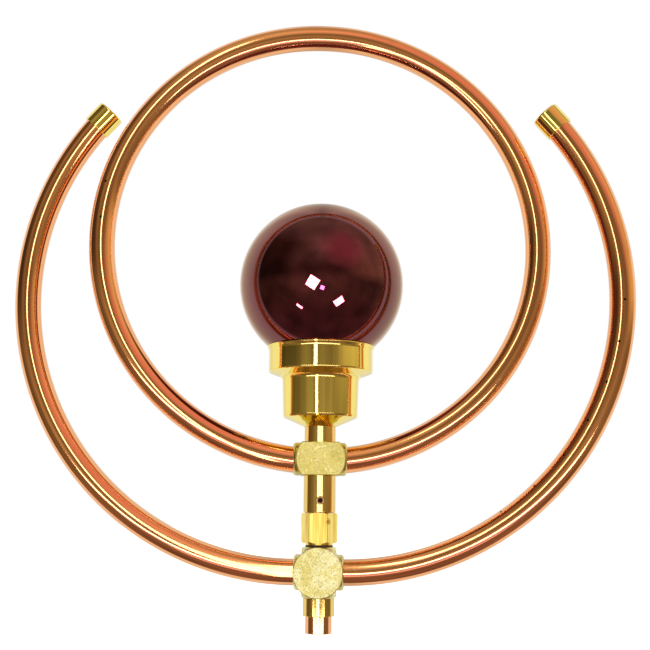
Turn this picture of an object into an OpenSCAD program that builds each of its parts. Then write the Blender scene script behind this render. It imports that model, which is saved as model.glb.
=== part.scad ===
// Kinetic garden sculpture with two counter-turning copper rings and a glass ball.
// Frame: +Z up, origin at the middle of the stem pipe's lower end, the viewer's side is -Y.
// Each ring is modelled in the XZ plane and then turned a few degrees to where it came to rest.
// Three bodies turn about Z: the stem, the open C ring on it, and the closed ring with the ball.

/* [Copper tube] */
// Outside diameter of the stem and of both rings
tube_d = 15.9; // [15:0.1:16]
// Wall thickness of the tube
tube_wall = 1.0; // [0.8:0.1:1.2]
// Diameter of each drilled water jet
jet_d = 1.5; // [1:0.1:2]

/* [Closed ring] */
// Bend radius at the middle of the tube
ring_r = 136.3; // [133:0.1:137]
// Half the length of the short straight at the top of the ring
ring_straight = 1; // [0.5:0.1:2]
// Number of water jets on each half of the ring
ring_jets = 3; // [1:1:5]

/* [Open C ring] */
// Bend radius at the middle of the tube
arm_r = 170.8; // [168:0.1:176]
// Angle from straight down round to the middle of the left end cap
left_cap_sweep = 131.9; // [110:0.1:132]
// Angle from straight down round to the middle of the right end cap
right_cap_sweep = 130.2; // [110:0.1:132]
// Number of water jets on each arm
arm_jets = 7; // [1:1:8]
// Outside diameter of an end cap
cap_d = 18; // [17.8:0.1:19]
// Length of an end cap
cap_l = 14.5; // [13:0.5:18]

/* [Rest position] */
// Turn of the C ring about the upright axis
c_turn = -3; // [-180:1:180]
// Turn of the closed ring about the upright axis
ring_turn = 2.7; // [-180:0.1:180]

/* [Hubs] */
// Diameter of a hub's round face
hub_d = 30; // [29:0.5:32]
// Thickness of a hub from front face to back face
hub_t = 25.4; // [24:0.1:27]
// Height of the upper hub between its flats
upper_hub_h = 20; // [19.8:0.2:22]
// Diameter of the lower hub's four sockets
lower_boss_d = 21.2; // [20.6:0.2:22]

/* [Heights] */
// Bottom of the lower sleeve above the stem's end
lower_sleeve_z = 10; // [8:0.5:11]
// Centre of the lower hub
lower_hub_z = 35.5; // [34:0.5:36]
// Centre of the upper hub
upper_hub_z = 103.0; // [102.8:0.1:105]
// Centre of the glass ball
ball_z = 211.2; // [211:0.1:212]

/* [Swivels] */
// Outside diameter of the upper sleeve
upper_sleeve_d = 19.4; // [19:0.1:20]
// Outside diameter of the lower sleeve
lower_sleeve_d = 19.0; // [18.6:0.1:19.6]
// Diameter of both journals
journal_d = 12.0; // [11:0.1:12.4]
// Radial play between a journal and its sleeve
journal_play = 0.05; // [0.02:0.01:0.08]
// Width of the hexagon across its flats
hex_af = 19.0; // [18:0.1:19.2]
// Height of the hexagon
hex_h = 18; // [16:0.5:18]

/* [Ball and cup] */
// Diameter of the glass ball
ball_d = 101.6; // [101:0.1:102]
// Thickness of the glass
glass_t = 2.5; // [2:0.5:3]
// Thickness of the spun cup
cup_t = 1.5; // [1.2:0.1:1.8]
// Diameter of the post under the cup
post_d = 19.0; // [18.6:0.1:19.4]
// Height of the post between the upper hub and the cup
post_h = 9.7; // [9:0.1:10]

/* [Hidden] */

$fn = 96;
eps = 0.01;
through = 60;

tube_r = tube_d / 2;
bore_r = tube_r - tube_wall;
jet_r = jet_d / 2;
solder_gap = 0.05;
socket_r = tube_r + solder_gap;
seat = 7;

hub_r = hub_d / 2;
hub_chamfer = 0.5;
boss_chamfer = 1.2;
lower_boss_r = lower_boss_d / 2;
upper_boss_half = 16.3;
waterway_r = 5;

journal_r = journal_d / 2;
sleeve_bore_r = journal_r + journal_play;
spindle_bore_r = 4;
spigot_r = 7.5;
washer_t = 0.8;
washer_play = 0.05;
lower_counterbore_r = tube_r + 0.65;
upper_counterbore_r = 8.75;
groove_depth = 1;
groove_h = 3.2;
ring_groove_h = 1.4;
ring_cord_r = 0.52;

lower_hub_bottom = lower_hub_z - hub_r;
lower_hub_top = lower_hub_z + hub_r;
pipe_top = lower_sleeve_z + 0.9;
lower_counterbore_top = pipe_top + washer_t + washer_play;
lower_spigot_top = lower_hub_bottom + 8;
lower_journal_top = lower_spigot_top - 1.5;
lower_screw_z = 15.6;
lower_screw_r = 2;

neck_h = 2.2;
neck_r = 8.2;
hex_bottom = lower_hub_top + neck_h;
hex_top = hex_bottom + hex_h;
upper_counterbore_top = hex_top + washer_t + washer_play;
upper_sleeve_bottom = hex_top + 0.25;
upper_hub_bottom = upper_hub_z - upper_hub_h / 2;
upper_hub_top = upper_hub_z + upper_hub_h / 2;
upper_spigot_top = upper_hub_bottom + 5.5;
upper_journal_top = 90;
upper_screw_z = 78.1;
upper_screw_r = 2.5;

post_r = post_d / 2;
post_top = upper_hub_top + post_h;
cup_screw_r = 2.5;

ball_r = ball_d / 2;
neck_glass_r = 12.5;
neck_bottom = 141;
stopper_flange_h = 2.5;

ring_low_z = upper_hub_z - 1.3;
ring_circle_z = ring_low_z + ring_r;
ring_seat_sweep = asin((upper_boss_half - seat) / ring_r);
cap_half_sweep = (cap_l / 2 - 1.6) / arm_r * 180 / PI;
arm_centre_z = lower_hub_z + arm_r;
arm_jet_start = 35;
arm_jet_step = 8.85;
arm_jet_tilt = -66;
arm_jet_turn = 10.8;
ring_jet_start = 95.2;
ring_jet_step = 9.6;
ring_jet_tilt = 5;
ring_jet_turn = 16;

copper = "#b8703f";
brass = "#c9a94a";
steel = "#9a9a9a";
rubber = "#2b2b2b";
plastic = "#e8e4d8";
glass = "#5a1826";

// Turns a piece of the C ring's body to its rest position
module on_c_ring() {
    rotate([0, 0, c_turn]) children();
}

// Turns a piece of the closed ring's body to its rest position
module on_closed_ring() {
    rotate([0, 0, ring_turn]) children();
}

// A plain tube or washer from z0 to z1
module pipe(r_out, r_in, z0, z1) {
    difference() {
        translate([0, 0, z0]) cylinder(r = r_out, h = z1 - z0);
        translate([0, 0, z0 - eps]) cylinder(r = r_in, h = z1 - z0 + 2 * eps);
    }
}

// A turned solid from z0 to z1 with both edges chamfered by c
module turned(r, z0, z1, c) {
    rotate_extrude()
        polygon([[0, z0], [r - c, z0], [r, z0 + c], [r, z1 - c], [r - c, z1], [0, z1]]);
}

// A cylinder of radius r along X from x0 to x1
module along_x(r, x0, x1) {
    translate([x0, 0, 0]) rotate([0, 90, 0]) cylinder(r = r, h = x1 - x0);
}

// A bend of radius bend_r round the origin; sweeps count from straight down towards +X
module bend(r, bend_r, from_sweep, to_sweep) {
    rotate([90, 0, 0]) rotate([0, 0, from_sweep - 90])
        rotate_extrude(angle = to_sweep - from_sweep, $fn = 192)
            translate([bend_r, 0]) circle(r = r, $fn = 48);
}

// One drilled jet through the wall; side 1 drills from the front and -1 from the back
module jet(bend_r, sweep, tilt, side) {
    rotate([0, 90 - sweep, 0]) translate([bend_r, 0, 0])
        rotate([0, 0, side * tilt]) rotate([side * 90, 0, 0]) cylinder(r = jet_r, h = tube_r + 2, $fn = 24);
}

// The stem: a pipe that the lower spindle is soldered into
module stem_pipe() {
    color(copper) pipe(tube_r, bore_r, 0, pipe_top);
}

// The groove that a set screw runs in, and the two grooves of the O rings above it
module journal_grooves(screw_z, top) {
    pipe(journal_r + 1, journal_r - groove_depth, screw_z - groove_h / 2, screw_z + groove_h / 2);
    for (z = ring_groove_centres(top))
        pipe(journal_r + 1, journal_r - groove_depth - 0.05, z - ring_groove_h / 2, z + ring_groove_h / 2);
}

function ring_groove_centres(top) = [top - 5, top - 2];

// Two O rings, each filling the gap between its groove and the sleeve
module o_rings(top) {
    for (z = ring_groove_centres(top)) translate([0, 0, z])
        rotate_extrude() translate([journal_r - 0.5, 0]) circle(r = ring_cord_r, $fn = 24);
}

// The fixed hollow spindle of the lower swivel
module lower_spindle() {
    color(brass) difference() {
        union() {
            translate([0, 0, 3]) cylinder(r = bore_r - solder_gap, h = pipe_top - 3);
            turned(journal_r, pipe_top - 1, lower_journal_top, 0.4);
        }
        translate([0, 0, 2]) cylinder(r = spindle_bore_r, h = through);
        journal_grooves(lower_screw_z, lower_journal_top);
    }
}

module lower_thrust_washer() {
    color(plastic) pipe(tube_r - 0.55, sleeve_bore_r + 0.1, pipe_top, pipe_top + washer_t);
}

module lower_o_rings() {
    color(rubber) o_rings(lower_journal_top);
}

// A sleeve that turns on a journal: counterbore below, spigot for the hub above, radial screw hole
module sleeve(r, bottom, counterbore_r, counterbore_top, shoulder, top, screw_z, screw_r, screw_turn) {
    difference() {
        union() {
            turned(r, bottom, shoulder, 0.3);
            translate([0, 0, shoulder - 1]) cylinder(r = spigot_r, h = top - shoulder + 1);
        }
        translate([0, 0, bottom - 1]) cylinder(r = sleeve_bore_r, h = through);
        translate([0, 0, bottom - 1]) cylinder(r = counterbore_r, h = counterbore_top - bottom + 1);
        translate([0, 0, screw_z]) rotate([90, 0, screw_turn])
            cylinder(r = screw_r + solder_gap, h = r + 1);
    }
}

// A headless screw with a hexagon socket outside and a tip that runs in the journal's groove
module set_screw(r, sleeve_r, z, turn) {
    tip_r = r * 0.6;
    body = sleeve_r - sleeve_bore_r - 0.3;
    translate([0, 0, z]) rotate([90, 0, turn]) difference() {
        union() {
            translate([0, 0, sleeve_bore_r]) cylinder(r = r, h = body, $fn = 48);
            translate([0, 0, journal_r - groove_depth + 0.2]) cylinder(r = tip_r, h = 2, $fn = 48);
        }
        translate([0, 0, sleeve_bore_r + body - 1.6]) cylinder(r = r * 0.56, h = 2, $fn = 6);
    }
}

module lower_sleeve() {
    color(brass)
        on_c_ring()
            sleeve(lower_sleeve_d / 2, lower_sleeve_z, lower_counterbore_r, lower_counterbore_top,
                lower_hub_bottom, lower_spigot_top, lower_screw_z, lower_screw_r, 180);
}

module lower_set_screw() {
    color(steel) on_c_ring() set_screw(lower_screw_r, lower_sleeve_d / 2, lower_screw_z, 180);
}

// The round body that both hubs share, with its flat faces to the front and the back
module hub_disc() {
    rotate([90, 0, 0]) turned(hub_r, -hub_t / 2, hub_t / 2, hub_chamfer);
}

// A socket's outside along X, chamfered at both ends
module boss_x(r, half) {
    rotate([0, 90, 0]) turned(r, -half, half, boss_chamfer);
}

// The four-way hub of the C ring
module lower_hub() {
    color(brass) on_c_ring() difference() {
        translate([0, 0, lower_hub_z]) difference() {
            union() {
                hub_disc();
                boss_x(lower_boss_r, hub_r);
                turned(lower_boss_r, -hub_r, hub_r, boss_chamfer);
            }
            along_x(waterway_r, -hub_r, hub_r);
            for (turn = [0, 180]) rotate([0, 0, turn])
                along_x(socket_r, hub_r - seat, hub_r + 1);
        }
        translate([0, 0, lower_hub_bottom - 1]) cylinder(r = waterway_r, h = hub_d + 2);
        translate([0, 0, lower_hub_bottom - 1])
            cylinder(r = spigot_r + solder_gap, h = lower_spigot_top - lower_hub_bottom + 1);
        translate([0, 0, lower_hub_top - 8]) cylinder(r = 7 + solder_gap, h = 9);
    }
}

// A round bar along one arm's middle line; extra makes a cutter run past both ends
module arm_path(r, cap_sweep, extra) {
    translate([0, 0, lower_hub_z]) along_x(r, hub_r - seat - extra, hub_r);
    translate([hub_r, 0, arm_centre_z]) bend(r, arm_r, 0, cap_sweep + cap_half_sweep + extra);
}

// One arm of the C ring, drilled with a spiral of jets along its front
module arm(cap_sweep) {
    difference() {
        arm_path(tube_r, cap_sweep, 0);
        arm_path(bore_r, cap_sweep, 1);
        translate([hub_r, 0, arm_centre_z]) for (i = [0 : arm_jets - 1])
            jet(arm_r, arm_jet_start + arm_jet_step * i, arm_jet_tilt + arm_jet_turn * i, 1);
    }
}

module right_arm() {
    color(copper) on_c_ring() arm(right_cap_sweep);
}

module left_arm() {
    color(copper) on_c_ring() rotate([0, 0, 180]) arm(left_cap_sweep);
}

// A closed brass cap over the end of an arm
module end_cap(cap_sweep) {
    translate([hub_r, 0, arm_centre_z]) difference() {
        rotate([0, 90 - cap_sweep, 0]) translate([arm_r, 0, 0])
            turned(cap_d / 2, -cap_l / 2, cap_l / 2, 0.9);
        bend(socket_r, arm_r, cap_sweep - 4, cap_sweep + cap_half_sweep + 0.02);
    }
}

module right_end_cap() {
    color(brass) on_c_ring() end_cap(right_cap_sweep);
}

module left_end_cap() {
    color(brass) on_c_ring() rotate([0, 0, 180]) end_cap(left_cap_sweep);
}

// The hexagon that screws into the lower hub, with the journal of the upper swivel on top
module hex_spindle() {
    hex_r = hex_af / sqrt(3);
    color(brass) on_c_ring() difference() {
        union() {
            translate([0, 0, lower_hub_top - 7.9]) cylinder(r = 7, h = 8);
            translate([0, 0, lower_hub_top]) cylinder(r = neck_r, h = neck_h);
            intersection() {
                translate([0, 0, hex_bottom]) cylinder(r = hex_r, h = hex_h, $fn = 6);
                turned(hex_r, hex_bottom, hex_top, 0.9);
            }
            turned(journal_r, hex_top - 1, upper_journal_top, 0.4);
        }
        translate([0, 0, lower_hub_top - 9]) cylinder(r = spindle_bore_r, h = through);
        journal_grooves(upper_screw_z, upper_journal_top);
        pipe(neck_r + 1, neck_r - 0.8, lower_hub_top - eps, lower_hub_top + 1);
    }
}

// The sealing ring squeezed between the hexagon's neck and the lower hub
module hex_gasket() {
    color(rubber) pipe(neck_r + 0.1, neck_r - 0.75, lower_hub_top + 0.02, lower_hub_top + 0.95);
}

module upper_thrust_washer() {
    color(plastic) pipe(upper_counterbore_r - 0.15, sleeve_bore_r + 0.1, hex_top, hex_top + washer_t);
}

module upper_o_rings() {
    color(rubber) o_rings(upper_journal_top);
}

module upper_sleeve() {
    color(brass)
        on_closed_ring()
            sleeve(upper_sleeve_d / 2, upper_sleeve_bottom, upper_counterbore_r, upper_counterbore_top,
                upper_hub_bottom, upper_spigot_top, upper_screw_z, upper_screw_r, 0);
}

module upper_set_screw() {
    color(steel) on_closed_ring() set_screw(upper_screw_r, upper_sleeve_d / 2, upper_screw_z, 0);
}

// The hub of the closed ring, flat above and below
module upper_hub() {
    color(brass) on_closed_ring() difference() {
        translate([0, 0, upper_hub_z]) difference() {
            union() {
                intersection() {
                    hub_disc();
                    cube([hub_d + 2, hub_t + 2, upper_hub_h], center = true);
                }
                boss_x(upper_hub_h / 2, upper_boss_half);
            }
            along_x(waterway_r, -hub_r, hub_r);
        }
        ring_ends(socket_r);
        translate([0, 0, upper_hub_bottom - 1]) cylinder(r = waterway_r, h = upper_hub_h / 2);
        translate([0, 0, upper_hub_bottom - 1])
            cylinder(r = spigot_r + solder_gap, h = upper_spigot_top - upper_hub_bottom + 1.1);
        translate([0, 0, upper_hub_top - 4.6]) cylinder(r = 7 + solder_gap, h = 6);
    }
}

// A round bar along the closed ring's middle line, open at the hub
module ring_path(r, end_sweep) {
    translate([0, 0, ring_circle_z + ring_r]) along_x(r, -ring_straight, ring_straight);
    for (turn = [0, 180]) rotate([0, 0, turn])
        translate([-ring_straight, 0, ring_circle_z]) bend(r, ring_r, 180, 360 - end_sweep);
}

// Cutters for the two sockets that the ring's ends are soldered into
module ring_ends(r) {
    for (turn = [0, 180]) rotate([0, 0, turn])
        translate([-ring_straight, 0, ring_circle_z]) bend(r, ring_r, 350, 360 - ring_seat_sweep);
}

// The closed ring, drilled at the front of its left side and at the back of its right side
module ring_tube() {
    color(copper) on_closed_ring() difference() {
        ring_path(tube_r, ring_seat_sweep);
        ring_path(bore_r, ring_seat_sweep - 1);
        for (turn = [0, 180]) rotate([0, 0, turn])
            translate([ring_straight, 0, ring_circle_z]) for (i = [0 : ring_jets - 1])
                jet(ring_r, ring_jet_start + ring_jet_step * i, ring_jet_tilt + ring_jet_turn * i, -1);
    }
}

// The solid post between the upper hub and the cup, tapped for the cup's screw
module cup_post() {
    color(brass) difference() {
        union() {
            translate([0, 0, upper_hub_top - 4.5]) cylinder(r = 7, h = 5);
            turned(post_r, upper_hub_top, post_top, 0.2);
        }
        translate([0, 0, post_top - 10.5]) cylinder(r = cup_screw_r + solder_gap, h = 12);
    }
}

// The spun cup in two steps, as radius and height above the post
module ball_cup() {
    tier_r = 22.8;
    tier_top_r = 23.6;
    collar_r = 32.1;
    lip_r = 33.1;
    color(brass) translate([0, 0, post_top]) rotate_extrude() polygon([
        [3.1, 0], [9.7, 0], [tier_r - 0.4, 5.6], [tier_r, 6.2], [tier_top_r, 30.3],
        [collar_r - 0.5, 33.2], [collar_r, 33.8], [collar_r, 47.1], [lip_r, 48.7], [lip_r, 49.8],
        [lip_r - 1.9, 48.3], [collar_r - cup_t, 47.5], [collar_r - cup_t, 35],
        [tier_top_r - cup_t, 31.4], [tier_r - cup_t, 7.6], [9, cup_t], [3.1, cup_t]]);
}

module cup_washer() {
    color(steel) pipe(7, 3.1, post_top + cup_t, post_top + cup_t + 1.2);
}

// The screw that clamps the cup down on its post
module cup_screw() {
    head_z = post_top + cup_t + 1.2;
    color(steel) difference() {
        union() {
            turned(4.8, head_z, head_z + 3.4, 0.8);
            translate([0, 0, post_top - 8]) cylinder(r = cup_screw_r, h = head_z - post_top + 9);
        }
        translate([0, 0, head_z + 1.2]) cylinder(r = 2.4, h = 4, $fn = 6);
    }
}

// The soft ring that centres the ball's neck in the cup
module neck_grommet() {
    color(rubber) pipe(21.4, neck_glass_r + 0.1, neck_bottom + 2, neck_bottom + 10);
}

// The plug that closes the ball's neck from below
module ball_stopper() {
    plug_r = neck_glass_r - glass_t;
    color(rubber) union() {
        turned(neck_glass_r, neck_bottom - stopper_flange_h, neck_bottom, 0.4);
        turned(plug_r - 0.05, neck_bottom - 1, neck_bottom + 8, 0.4);
    }
}

// The blown ball with the neck that goes down into the cup
module glass_ball() {
    color(glass) difference() {
        union() {
            translate([0, 0, ball_z]) sphere(r = ball_r);
            translate([0, 0, neck_bottom]) cylinder(r = neck_glass_r, h = ball_z - ball_r - neck_bottom + 4);
        }
        translate([0, 0, ball_z]) sphere(r = ball_r - glass_t);
        translate([0, 0, neck_bottom - 1]) cylinder(r = neck_glass_r - glass_t, h = 30);
    }
}

stem_pipe();
lower_spindle();
lower_thrust_washer();
lower_o_rings();
lower_sleeve();
lower_set_screw();
lower_hub();
left_arm();
right_arm();
left_end_cap();
right_end_cap();
hex_spindle();
hex_gasket();
upper_thrust_washer();
upper_o_rings();
upper_sleeve();
upper_set_screw();
upper_hub();
ring_tube();
cup_post();
ball_cup();
cup_washer();
cup_screw();
neck_grommet();
ball_stopper();
glass_ball();
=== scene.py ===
import math

import bmesh
import bpy
import numpy as np
from bpy.props import FloatProperty, FloatVectorProperty, IntProperty, PointerProperty
from mathutils import Matrix, Vector


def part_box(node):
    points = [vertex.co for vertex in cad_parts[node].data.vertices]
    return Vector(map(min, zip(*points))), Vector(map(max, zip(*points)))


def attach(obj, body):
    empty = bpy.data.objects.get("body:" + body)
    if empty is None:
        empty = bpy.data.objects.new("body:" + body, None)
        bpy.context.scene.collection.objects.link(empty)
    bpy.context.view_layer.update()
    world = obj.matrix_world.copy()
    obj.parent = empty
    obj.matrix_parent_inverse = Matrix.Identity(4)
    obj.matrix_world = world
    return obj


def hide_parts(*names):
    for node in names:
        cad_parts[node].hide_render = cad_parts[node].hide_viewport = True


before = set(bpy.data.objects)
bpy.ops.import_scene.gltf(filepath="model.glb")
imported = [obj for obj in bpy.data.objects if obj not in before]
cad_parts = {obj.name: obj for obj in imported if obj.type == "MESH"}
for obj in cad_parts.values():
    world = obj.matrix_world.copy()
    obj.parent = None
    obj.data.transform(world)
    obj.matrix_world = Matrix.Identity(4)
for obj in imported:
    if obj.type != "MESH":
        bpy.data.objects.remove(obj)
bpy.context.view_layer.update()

bl_info = {
    "name": "Water Sculpture",
    "version": (1, 0, 0),
    "blender": (4, 5, 0),
    "location": "3D View > Sidebar > Sculpture",
    "description": "Copper rings on brass swivels with a mirrored glass ball",
    "category": "Object",
}

MM = 0.001


def middle(node, axis):
    """The middle of a CAD node's box along one axis."""
    low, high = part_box(node)
    return (low[axis] + high[axis]) / 2


HUB_RING_STEP = 1.3 * MM
RING_LOW = middle("upper_hub", 2) - HUB_RING_STEP
JET_DEPTH = 11 * MM
ARM_JETS = {"first": math.radians(35), "step": math.radians(8.85), "tilt": math.radians(-66),
            "turn": math.radians(10.8)}
RING_JETS = {"first": math.radians(95.2), "step": math.radians(9.6), "tilt": math.radians(5),
             "turn": math.radians(16)}
STAIN_PLACE = (5.6 * MM, -9.5 * MM, 65.6 * MM)
FLOOR_DROP = -0.2 * MM
BODY_TURN = {"stem": 0.0, "c_rotor": math.radians(-3.0), "ring_rotor": math.radians(2.7)}


def size(name, words, value, unit="LENGTH"):
    """A length or an angle that a user may change."""
    return FloatProperty(name=name, description=words, default=value, unit=unit)


def tint(name, words, value):
    """A colour that a user may change."""
    return FloatVectorProperty(name=name, description=words, default=value, subtype="COLOR",
                               size=3, min=0, max=1)


class SculptureTubes(bpy.types.PropertyGroup):
    """Sizes of the copper tubes and of their jets"""
    tube_radius: size("Tube radius", "Outside radius of every copper tube", 7.95 * MM)
    bore_radius: size("Bore radius", "Inside radius of every copper tube", 6.95 * MM)
    jet_radius: size("Jet radius", "Radius of one drilled jet", 0.75 * MM)
    ring_bend: size("Ring bend", "Bend radius of the closed ring",
                    (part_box("ring_tube")[1][2] - 7.95 * MM - RING_LOW) / 2)
    ring_straight: size("Ring straight", "Half the straight at the top of the ring", 1.0 * MM)
    ring_jets: IntProperty(name="Ring jets", description="Jets on each half of the ring", default=3)
    arm_bend: size("Arm bend", "Bend radius of both arms", 170.8 * MM)
    arm_jets: IntProperty(name="Arm jets", description="Jets on each arm", default=7)
    left_cap: size("Left cap place", "Angle from straight down round to the left end cap",
                   math.radians(131.9), "ROTATION")
    right_cap: size("Right cap place", "Angle from straight down round to the right end cap",
                    math.radians(130.2), "ROTATION")


class SculptureHubs(bpy.types.PropertyGroup):
    """Sizes of the brass hubs, sleeves and hexagon"""
    lower_z: size("Lower hub", "Height of the lower hub's middle", middle("lower_hub", 2))
    upper_z: size("Upper hub", "Height of the upper hub's middle", middle("upper_hub", 2))
    radius: size("Hub radius", "Radius of a hub's round face", 15.0 * MM)
    depth: size("Hub depth", "From a hub's front face to its back face", 25.4 * MM)
    flats: size("Upper hub height", "Between the upper hub's two flats", 20.0 * MM)
    hex_flats: size("Hexagon", "Width of the hexagon across its flats", 19.0 * MM)


class SculptureBall(bpy.types.PropertyGroup):
    """Sizes of the ball and its cup"""
    radius: size("Ball radius", "Outside radius of the glass ball", 50.8 * MM)
    middle_z: size("Ball height", "Height of the ball's middle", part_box("glass_ball")[1][2] - 50.8 * MM)
    glass: size("Glass", "Thickness of the glass", 2.5 * MM)
    cup_wall: size("Cup wall", "Thickness of the spun cup", 1.5 * MM)


class SculptureColours(bpy.types.PropertyGroup):
    """Colours of the finishes"""
    copper: tint("Copper", "Polished copper", (0.93, 0.45, 0.20))
    copper_tarnish: tint("Copper tarnish", "Where copper has darkened", (0.52, 0.20, 0.09))
    brass: tint("Brass", "Polished brass", (0.93, 0.76, 0.20))
    turned_brass: tint("Turned brass", "Sleeves and post", (0.84, 0.58, 0.17))
    brass_tarnish: tint("Brass tarnish", "Where brass has darkened", (0.45, 0.29, 0.09))
    hub_face: tint("Hub face", "Dull machined brass", (0.66, 0.57, 0.18))
    glass: tint("Glass ball", "Mirrored glass", (0.10, 0.010, 0.022))
    backdrop: tint("Backdrop", "Floor and surroundings", (0.95, 0.95, 0.94))


def settings():
    """The four groups of settings on the scene."""
    s = bpy.context.scene
    return s.sculpture_tubes, s.sculpture_hubs, s.sculpture_ball, s.sculpture_colours


# Outlines for turned parts. A run is a list of (radius, height, normal across, normal up) points.

def line(a, b):
    """A straight run from a to b with the outside on its right."""
    d = Vector((b[0] - a[0], b[1] - a[1])).normalized()
    return [(a[0], a[1], d.y, -d.x), (b[0], b[1], d.y, -d.x)]


def arc(centre, radius, start, end, steps, outside=1):
    """A round run; outside is 1 for a bulge and -1 for a hollow."""
    run = []
    for i in range(steps + 1):
        a = math.radians(start + (end - start) * i / steps)
        c, s = math.cos(a), math.sin(a)
        run.append((centre[0] + radius * c, centre[1] + radius * s, outside * c, outside * s))
    return run


def rounded(points, steps=5):
    """Runs round a closed outline of (radius, height, fillet) corners, outside on the right."""
    n = len(points)
    pos = [Vector(p[:2]) for p in points]
    fillet = [p[2] if len(p) > 2 else 0 for p in points]
    starts, ends, arcs = [], [], []
    for i in range(n):
        before, after = (pos[i] - pos[i - 1]).normalized(), (pos[(i + 1) % n] - pos[i]).normalized()
        turn = math.atan2(before.x * after.y - before.y * after.x, before.dot(after))
        cut = abs(fillet[i] * math.tan(turn / 2))
        a, b = pos[i] - before * cut, pos[i] + after * cut
        starts.append(b)
        ends.append(a)
        if fillet[i] and abs(turn) > 0.01:
            side = 1 if turn > 0 else -1
            centre = a + Vector((-before.y, before.x)) * fillet[i] * side
            first = math.atan2(a.y - centre.y, a.x - centre.x)
            arcs.append(arc(centre, fillet[i], math.degrees(first),
                            math.degrees(first + turn), steps, side))
        else:
            arcs.append(None)
    runs = []
    for i in range(n):
        if arcs[i]:
            runs.append(arcs[i])
        if (ends[(i + 1) % n] - starts[i]).length > 1e-7:
            runs.append(line(starts[i], ends[(i + 1) % n]))
    return runs


def mm_outline(points, steps=5):
    """rounded() for corners given in millimetres."""
    return rounded([tuple(v * MM for v in p) for p in points], steps)


AXES = {"Z": Matrix.Identity(4),
        "X": Matrix.Rotation(math.pi / 2, 4, "Y"),
        "Y": Matrix.Rotation(-math.pi / 2, 4, "X")}


def new_object(name, data):
    """An object in the scene for a mesh, a light or a camera."""
    obj = bpy.data.objects.new(name, data)
    bpy.context.scene.collection.objects.link(obj)
    return obj


def softened(name, bm, edges, width, lift):
    """An object made from a bmesh, with some edges rounded over and the whole lifted."""
    bmesh.ops.bevel(bm, geom=edges, offset=width, segments=4, profile=0.5, affect="EDGES")
    bmesh.ops.translate(bm, vec=(0, 0, lift), verts=bm.verts)
    mesh = bpy.data.meshes.new(name)
    bm.to_mesh(mesh)
    bm.free()
    return new_object(name, mesh)


def inside_out(runs):
    """The same runs with their normals turned to the other side, for a bore."""
    return [[(p[0], p[1], -p[2], -p[3]) for p in run] for run in runs]


def turned(name, runs, steps=128, place=None):
    """A turned solid with exact surface normals, as an object placed by the matrix."""
    verts, ring_of, faces, normals = [], {}, [], []

    def ring(p):
        key = (round(p[0], 9), round(p[1], 9))
        if key not in ring_of:
            if p[0] < 1e-9:
                verts.append((0, 0, p[1]))
                ring_of[key] = [len(verts) - 1] * steps
            else:
                base = len(verts)
                for k in range(steps):
                    a = 2 * math.pi * k / steps
                    verts.append((p[0] * math.cos(a), p[0] * math.sin(a), p[1]))
                ring_of[key] = list(range(base, base + steps))
        return ring_of[key]

    def normal(p, k):
        a = 2 * math.pi * k / steps
        return (p[2] * math.cos(a), p[2] * math.sin(a), p[3])

    for run in runs:
        for p, q in zip(run, run[1:]):
            if p[0] < 1e-9 and q[0] < 1e-9:
                continue
            low, high = ring(p), ring(q)
            for k in range(steps):
                j = (k + 1) % steps
                corners = [(low[k], normal(p, k)), (low[j], normal(p, k + 1)),
                           (high[j], normal(q, k + 1)), (high[k], normal(q, k))]
                if low[k] == low[j]:
                    corners = corners[1:]
                if high[k] == high[j]:
                    corners = corners[:-1]
                faces.append([c[0] for c in corners])
                normals += [c[1] for c in corners]
    mesh = bpy.data.meshes.new(name)
    mesh.from_pydata(verts, [], faces)
    mesh.shade_smooth()
    mesh.normals_split_custom_set(normals)
    mesh.transform(place or AXES["Z"])
    return new_object(name, mesh)


def plain_mesh(obj, dissolve=False):
    """Turns an object with modifiers into its evaluated plain mesh."""
    dg = bpy.context.evaluated_depsgraph_get()
    mesh = bpy.data.meshes.new_from_object(obj.evaluated_get(dg), depsgraph=dg)
    obj.modifiers.clear()
    old, obj.data = obj.data, mesh
    bpy.data.meshes.remove(old)
    mesh.name = obj.name
    return obj


def carve(obj, *steps):
    """Joins, cuts or meets obj with other solids, in order: ("UNION" | "DIFFERENCE" | "INTERSECT", tool)."""
    for operation, tool in steps:
        m = obj.modifiers.new("carve", "BOOLEAN")
        m.operation, m.object, m.solver = operation, tool, "EXACT"
        bpy.context.view_layer.update()
        plain_mesh(obj)
        bpy.data.objects.remove(tool, do_unlink=True)
    return obj


def find_normals(points, face_normals, runs, place):
    """The outline's own normal at each face corner that lies on that turned surface, else nan."""
    inverse = np.array(place.inverted())
    rot = np.array(place.to_3x3())
    local = points @ inverse[:3, :3].T + inverse[:3, 3]
    facing = face_normals @ rot
    radius = np.hypot(local[:, 0], local[:, 1])
    safe = np.maximum(radius, 1e-9)
    cosine, sine = local[:, 0] / safe, local[:, 1] / safe
    across = facing[:, 0] * cosine + facing[:, 1] * sine
    best = np.full(len(points), 0.8)
    found = np.full((len(points), 3), np.nan)
    for run in runs:
        for p, q in zip(run, run[1:]):
            d = np.array((q[0] - p[0], q[1] - p[1]))
            t = ((radius - p[0]) * d[0] + (local[:, 2] - p[1]) * d[1]) / (d @ d)
            t = np.clip(t, 0, 1)
            gap = np.hypot(radius - p[0] - t * d[0], local[:, 2] - p[1] - t * d[1])
            nr, nz = p[2] + (q[2] - p[2]) * t, p[3] + (q[3] - p[3]) * t
            dot = nr * across + nz * facing[:, 2]
            use = (gap < 2e-5) & (dot > best)
            best[use] = dot[use]
            n = np.stack((nr * cosine, nr * sine, nz), axis=1) @ rot.T
            found[use] = n[use]
    return found


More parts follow.
